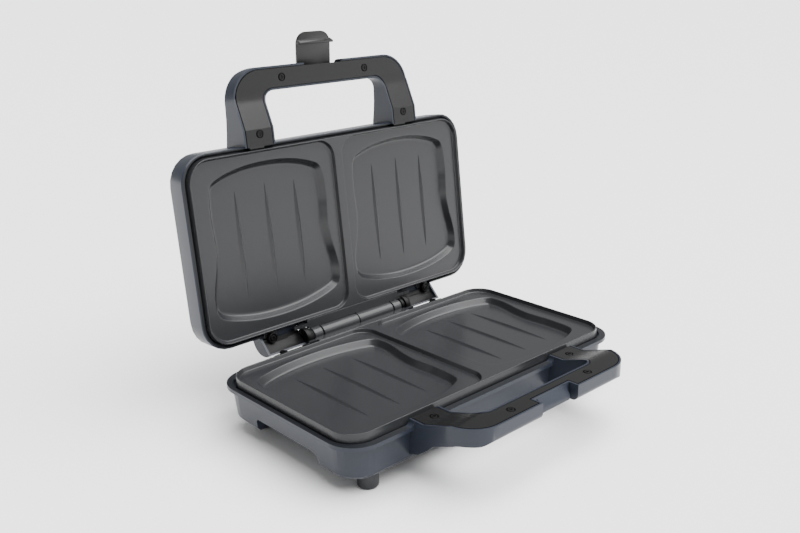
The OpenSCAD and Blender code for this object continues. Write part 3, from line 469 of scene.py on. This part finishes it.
def pocket_outline():
    """Waisted bread pocket round its own middle, a smooth curve through its knots."""
    d = REAR_X - WAIST_X
    side = [(0.42 * FRONT_X, 1.6 - FRONT_Y), (0.80 * FRONT_X, 7 - FRONT_Y),
            (0.965 * FRONT_X, 14.5 - FRONT_Y), (FRONT_X, -0.42 * FRONT_Y),
            (WAIST_X + 0.5, -0.24 * FRONT_Y), (WAIST_X, -1), (WAIST_X + 0.36 * d, 0.24 * REAR_Y),
            (WAIST_X + 0.80 * d, 0.44 * REAR_Y), (REAR_X, 0.62 * REAR_Y),
            (0.965 * REAR_X, REAR_Y - 13), (0.80 * REAR_X, REAR_Y - 7),
            (0.42 * REAR_X, REAR_Y - 1.7)]
    knots = [(0, -FRONT_Y)] + side + [(0, REAR_Y)] + [(-x, y) for x, y in reversed(side)]
    knots = [Vector(k) for k in knots]
    n = len(knots)
    pts = []
    for i in range(n):
        a, b, c, e = (knots[(i + k - 1) % n] for k in range(4))
        for s in range(CURVE_STEPS):
            t = s / CURVE_STEPS
            pts.append(0.5 * (2 * b + (c - a) * t + (2 * a - 5 * b + 4 * c - e) * t * t
                              + (3 * b - a - 3 * c + e) * t ** 3))
    return pts


def rib(shape, x, y0, y1):
    """Slender rib with a sharp crest, pointed at both ends: an open strip sunk in the floor."""
    rows = []
    for i in range(RIB_STEPS + 1):
        t = i / RIB_STEPS
        swell = math.sin(math.pi * t) ** RIB_TAPER if 0 < t < 1 else 0
        w, h = RIB_W / 2 * swell, RIB_H * swell
        y = y0 + (y1 - y0) * t
        base = -POCKET - RIB_SINK
        rows.append([(x - w, y, base), (x - FLANK_X * w, y, base + FLANK_H * h), (x, y, base + h),
                     (x + FLANK_X * w, y, base + FLANK_H * h), (x + w, y, base)])
    shape.loft(rows, closed=False)


def half_plate():
    """Cavity, pocket and ribs of the right half; also the hole's edge and the underside's."""
    middle = Vector((POCKET_MID, 0))
    ways = np.array([tuple((Vector(p) - middle).normalized()) for p in cavity_outline(0)])
    pocket = pocket_outline()

    def level(radii, z):
        return [(POCKET_MID + w[0] * r, w[1] * r, z) for w, r in zip(ways, radii)]

    def radii_of(ring):
        return np.array([math.hypot(p[0] - POCKET_MID, p[1]) for p in ring])

    def cavity(inset):
        return reach([Vector(p) - middle for p in cavity_outline(inset)], ways)

    def recess(inset):
        return reach(offset(pocket, inset), ways)

    rings = [level(cavity(i), z) for i, z in CAVITY_WALL]
    brink = recess(POCKET_WALL[0][0])
    rings.append(level((brink + radii_of(rings[-1])) / 2, -LAND))
    rings += [level(recess(i), z) for i, z in POCKET_WALL]
    floor = radii_of(rings[-1])
    rings += [level(floor * k, -POCKET) for k in FLOOR_RINGS]
    half = Shape()
    half.loft(rings, cap_last=True)
    for k, front, rear in RIBS:
        rib(half, POCKET_MID + k * RIB_PITCH, -RIB_REACH - front, RIB_REACH + rear)
    under = [level(recess(i), z) for i, z in UNDERSIDE]
    half.loft(under, cap_last=True)
    return half, rings[0], under[0]


def lip(shape, x0, x1, radius, low):
    """Rear edge of the web, hollowed round the axis to close the slit at the other knuckle."""
    front = PLATE_D / 2 + 2
    back = [(HINGE_Y - math.sqrt(radius ** 2 - (z - AXIS_Z) ** 2), z)
            for z in (low + (LIP_TOP - low) * i / LIP_STEPS for i in range(LIP_STEPS + 1))]
    if low < -WEB_T:
        profile = [(WEB_Y - 1, low)] + back + [(front, LIP_TOP), (front, -WEB_T + 0.2)]
    else:
        profile = [(front, low)] + back + [(front, LIP_TOP)]
    shape.loft([[(x, y, z) for y, z in profile] for x in (x0, x1)], cap_first=True, cap_last=True)


def knuckle(shape, x0, x1):
    """Tube round the hinge's axis with rounded ends, and its root on the web."""
    near = [(x0 + along, KNUCKLE_R - inward) for along, inward in END_ROUND]
    far = [(x1 - along, KNUCKLE_R - inward) for along, inward in reversed(END_ROUND)]
    rings = []
    for x, r in [(x0, BORE_R)] + near + far + [(x1, BORE_R)]:
        turn = arc(0, 0, r, 0, 360 - 360 / KNUCKLE_N, KNUCKLE_N - 1)
        rings.append([(x, HINGE_Y + y, AXIS_Z + z) for y, z in turn])
    tube = shape.loft(rings)
    shape.strip(tube[-1], tube[0])
    block(shape, x0 + 0.2, x1 - 0.2, WEB_Y - 2, HINGE_Y - BORE_R - 1, -WEB_T, -0.02, WEB_EDGE)


def plate_hinge(shape):
    """Web, lips and knuckles of the cast hinge, and the lugs under the covers."""
    rear = PLATE_D / 2
    block(shape, -WEB_X, WEB_X, rear - 1, WEB_Y, -WEB_T, 0, WEB_EDGE)
    for x0, x1 in OTHER_KNUCKLES:
        lip(shape, x0, x1, KNUCKLE_R + LIP_GAP, LIP_Z)
    for x0, x1 in sides(*WING):
        lip(shape, x0, x1, BUSH_R + WING_GAP, -WEB_T)
    for x0, x1 in KNUCKLES:
        knuckle(shape, x0, x1)
    for front_lug, rear_lug in zip(sides(*FRONT_LUG), sides(*REAR_LUG)):
        block(shape, *front_lug, LUG_FRONT_Y, -rear + 1, LUG_LOW, LUG_TOP, LUG_EDGE)
        block(shape, *rear_lug, rear - 1, rear + LUG_OUT, LUG_LOW, LUG_TOP, LUG_EDGE)


def plate_shape():
    """The whole casting, as shells that run into each other."""
    plate = Shape()
    half, hole, under = half_plate()
    plate.add(half)
    plate.add(half, mirrored)
    top = DRAFT + RIM_EDGE
    outline = slab_ring(PLATE_W - 2 * top, PLATE_D - 2 * top, PLATE_R - top, 0)
    plate.sheet([outline, hole, [mirrored(p) for p in hole]])
    skirt = [outline]
    for i, z in SKIRT_WALL:
        skirt.append(slab_ring(PLATE_W - 2 * i, PLATE_D - 2 * i, PLATE_R - i, z))
    plate.loft(skirt)
    plate.sheet([skirt[-1], under, [mirrored(p) for p in under]], up=False)
    plate_hinge(plate)
    return plate


def lid_plate_shape(plate):
    """The same casting with two more lips."""
    shape = Shape()
    shape.add(plate)
    for x0, x1 in sides(*LID_WING):
        lip(shape, x0, x1, BUSH_R + WING_GAP, -WEB_T)
    return shape


# ---- handle covers ----

COVER_X, COVER_Y, COVER_R = 90.0, 134.7, 23.7
GRIP_X, GRIP_Y, GRIP_R = 65.8, 120.3, 11.8
ROOT_Y, COVER_T = 76.5, 2.6
SPLIT_ROOT, SPLIT_BAR, RAMP_0, RAMP_1 = -1.8, 6.6, 90.0, 115.5
SOFT = 5.0
LID_SPLIT = 0.3
LEG_ROWS = (ROOT_Y, 80, 84, 87.5, RAMP_0, 92.5, 95, 98, 101, 104)
U_CORNER_N, BAR_N, ACROSS = 20, 12, 9
COVER_EDGE, COVER_SEGMENTS, COVER_ANGLE = 0.3, 3, 40

# screw seats: their places, depth and radius, and how far the cutter stands out of the face
BAR_SCREW, ROOT_SCREW = (44.0, 127.5), (77.3, 86.0)
SCREW_PLACES = [(s * x, -y) for x, y in (BAR_SCREW, ROOT_SCREW) for s in (-1, 1)]
SINK, SEAT_R, SEAT_N, STAND_OUT = 1.1, 3.4, 40, 3

# notch for the latch clip in the base's cover
NOTCH_X, NOTCH_FRONT, NOTCH_REAR, NOTCH_H = 22.55, -140, -126.1, 12


def split_height(y):
    """Height of the handles' split surface: flat root, crease, ramp, soft bend, flat bar."""
    t = -y
    k = (SPLIT_BAR - SPLIT_ROOT) / (RAMP_1 - RAMP_0)
    if t <= RAMP_0:
        return SPLIT_ROOT
    if t <= RAMP_1 - SOFT:
        return SPLIT_ROOT + k * (t - RAMP_0)
    if t < RAMP_1 + SOFT:
        u = t - RAMP_1 + SOFT
        return SPLIT_ROOT + k * (t - RAMP_0) - k * u * u / (4 * SOFT)
    return SPLIT_BAR


def u_path(x, y, r, knee):
    """One edge of the U from the right leg's root round to the left one's. The corner's start
    comes after the knee, also where both are one place, so that both edges have as many points."""
    leg = [(x, -t) for t in LEG_ROWS + (knee, y - r)]
    corner = arc(x - r, -(y - r), r, 0, -90, U_CORNER_N)
    bar = [((x - r) * (1 - i / BAR_N), -y) for i in range(1, BAR_N + 1)]
    right = leg + corner[1:] + bar
    return right + [(-px, py) for px, py in reversed(right[:-1])]


def cover_shape(thick):
    """Band between the outer and the inner edge; thick is the way from the face to the back."""
    knee = GRIP_Y - GRIP_R
    outer = u_path(COVER_X, COVER_Y, COVER_R, knee)
    inner = u_path(GRIP_X, GRIP_Y, GRIP_R, knee)
    shape = Shape()
    tops, backs = [], []
    for a, b in zip(outer, inner):
        row = [(a[0] + (b[0] - a[0]) * j / ACROSS, a[1] + (b[1] - a[1]) * j / ACROSS)
               for j in range(ACROSS + 1)]
        tops.append(shape.ring([(x, y, split_height(y)) for x, y in row]))
        backs.append(shape.ring([(x, y, split_height(y) + thick) for x, y in row]))
    for rows in (tops, backs):
        for p, q in zip(rows, rows[1:]):
            shape.strip(p, q, closed=False)
    for k in (0, -1):
        shape.strip([r[k] for r in tops], [r[k] for r in backs], closed=False)
        shape.strip(tops[k], backs[k], closed=False)
    return shape


def drum(x, y, z0, z1, r, n):
    shape = Shape()
    shape.loft([[(px, py, z) for px, py in circle(x, y, r, n)] for z in (z0, z1)],
               cap_first=True, cap_last=True)
    return shape


def carve(obj, tools):
    """Cuts each of the tools out of obj."""
    for tool in tools:
        cut = obj.modifiers.new("cut", "BOOLEAN")
        cut.operation = "DIFFERENCE"
        cut.solver = "EXACT"
        cut.object = tool


def bake(obj):
    """The modifiers' result becomes the mesh of obj."""
    bpy.context.view_layer.update()
    graph = bpy.context.evaluated_depsgraph_get()
    mesh = bpy.data.meshes.new_from_object(obj.evaluated_get(graph), depsgraph=graph)
    obj.modifiers.clear()
    obj.data = mesh
    shade(mesh, COVER_SHARP)


def cover(name, node, body, up):
    """up is the side that the cover's back lies on: +1 for the lid's, -1 for the base's."""
    lift = LID_SPLIT if up > 0 else 0
    place = lid_place if up > 0 else base_place
    obj = piece(name, cover_shape(up * COVER_T), lambda p: place((p[0], p[1], p[2] + lift)), body,
                "dark_plastic", [node])
    shapes = []
    for x, y in SCREW_PLACES:
        z = split_height(y) + lift
        shapes.append(drum(x, y, *sorted((z - up * STAND_OUT, z + up * SINK)), SEAT_R, SEAT_N))
    if up < 0:
        notch = Shape()
        block(notch, -NOTCH_X, NOTCH_X, NOTCH_FRONT, NOTCH_REAR, 0, NOTCH_H, 0.01)
        shapes.append(notch)
    tools = [add_object("cutter", mesh_of("cutter", shape, place)) for shape in shapes]
    obj.modifiers.clear()
    carve(obj, tools)
    round_edges(obj, COVER_EDGE, COVER_SEGMENTS, COVER_ANGLE)
    bake(obj)
    keep_flat(obj, PIECE_WEIGHT)
    for tool in tools:
        bpy.data.objects.remove(tool)


# ---- room ----

FLOOR_R, FLOOR_N = 40.0, 64
WHITE = (1, 1, 1, 1)
WORLD, WALL = 0.5, 2.6
SUN, SUN_ANGLE, SUN_FROM = 9.0, 75, (0.22, -0.3, 0.9)
LAMP_LOOK = (0, 0, 0.1)

# the photo's camera: its turns in degrees, its place in metres and its focal length in pixels
AZIMUTH, ELEVATION, ROLL = -42.94, 18.31, -0.68
CAMERA_AT = (-0.4939, -0.5000, 0.3524)
FOCAL_PX, PHOTO_W, SENSOR, CLIP_START = 932.92, 800, 36, 0.01


def build_floor():
    verts = [(0, 0, 0)] + [(x, y, 0) for x, y in circle(0, 0, FLOOR_R, FLOOR_N)]
    faces = [(0, i + 1, (i + 1) % FLOOR_N + 1) for i in range(FLOOR_N)]
    mesh = bpy.data.meshes.new("floor")
    mesh.from_pydata(verts, [], faces)
    floor = add_object("floor", mesh)
    floor.data.materials.append(material("floor", (250, 250, 250), 0.9))
    floor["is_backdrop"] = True


def build_world():
    """White all round: it lights the object with WORLD, and the camera sees it with WALL, which
    is about as pale as the floor."""
    world = bpy.data.worlds.new("world")
    bpy.context.scene.world = world
    world.use_nodes = True
    tree = world.node_tree
    back = tree.nodes["Background"]
    back.inputs["Color"].default_value = WHITE
    back.inputs["Strength"].default_value = WORLD
    wall = tree.nodes.new("ShaderNodeBackground")
    wall.inputs["Color"].default_value = WHITE
    wall.inputs["Strength"].default_value = WALL
    seen = tree.nodes.new("ShaderNodeLightPath")
    mix = tree.nodes.new("ShaderNodeMixShader")
    tree.links.new(seen.outputs["Is Camera Ray"], mix.inputs["Fac"])
    tree.links.new(back.outputs["Background"], mix.inputs[1])
    tree.links.new(wall.outputs["Background"], mix.inputs[2])
    tree.links.new(mix.outputs["Shader"], tree.nodes["World Output"].inputs["Surface"])


def build_sun():
    data = bpy.data.lights.new("sky", "SUN")
    data.energy = SUN
    data.angle = math.radians(SUN_ANGLE)
    obj = add_object("sky", data)
    obj.rotation_euler = Vector(SUN_FROM).to_track_quat("Z", "Y").to_euler()


def build_lamp(name, at, size, power):
    data = bpy.data.lights.new(name, "AREA")
    data.shape = "RECTANGLE"
    data.size, data.size_y = size
    data.energy = power
    obj = add_object(name, data)
    obj.location = at
    obj.rotation_euler = (Vector(LAMP_LOOK) - Vector(at)).to_track_quat("-Z", "Y").to_euler()


def build_camera():
    az, el, roll = (math.radians(a) for a in (AZIMUTH, ELEVATION, ROLL))
    back = Vector((math.sin(az) * math.cos(el), -math.cos(az) * math.cos(el), math.sin(el)))
    right = Vector((math.cos(az), math.sin(az), 0))
    up = back.cross(right)
    right2 = math.cos(roll) * right + math.sin(roll) * up
    up2 = -math.sin(roll) * right + math.cos(roll) * up
    cam = bpy.data.cameras.new("camera")
    cam.sensor_width = SENSOR
    cam.lens = FOCAL_PX * SENSOR / PHOTO_W
    cam.clip_start = CLIP_START
    obj = add_object("camera", cam)
    turn = Matrix((right2, up2, back)).transposed().to_4x4()
    obj.matrix_world = Matrix.Translation(CAMERA_AT) @ turn
    bpy.context.scene.camera = obj


# ---- the toaster ----

# heights of the two casings' rim faces in their own frames
FLANGE_Z, LID_EDGE_Z = -6, 3.2

for name, obj in frame["nodes"].items():
    dress(name, obj)

PLATE = plate_shape()
piece("lower_plate_casting", PLATE, base_place, "base", "coated_casting", ["lower_plate"])
piece("upper_plate_casting", lid_plate_shape(PLATE), upper_place, "lid", "coated_casting",
      ["upper_plate"])

# painted shade on the two casings' faces round the plates, in a darker copy of the casing's
# material
paint_rim_shade("base_casing", (0, 0, 1), (RIM_H + FLANGE_Z) * MM)
toward = lid_place((0, 0, 0)) - lid_place((0, 0, 1))
paint_rim_shade("lid_casing", toward, lid_place((0, 0, LID_EDGE_Z)).dot(toward.normalized()))

cover("base_handle_trim", "base_handle_cover", "base", -1)
cover("lid_handle_trim", "lid_handle_cover", "lid", 1)

build_floor()
build_world()
build_sun()
build_lamp("rear_left", (-1.6, 1.1, 0.7), (1.2, 1.0), 1.5)
build_lamp("front_right", (1.5, -1.6, 0.8), (1.6, 1.2), 12)
build_camera()

write_size("dressed")
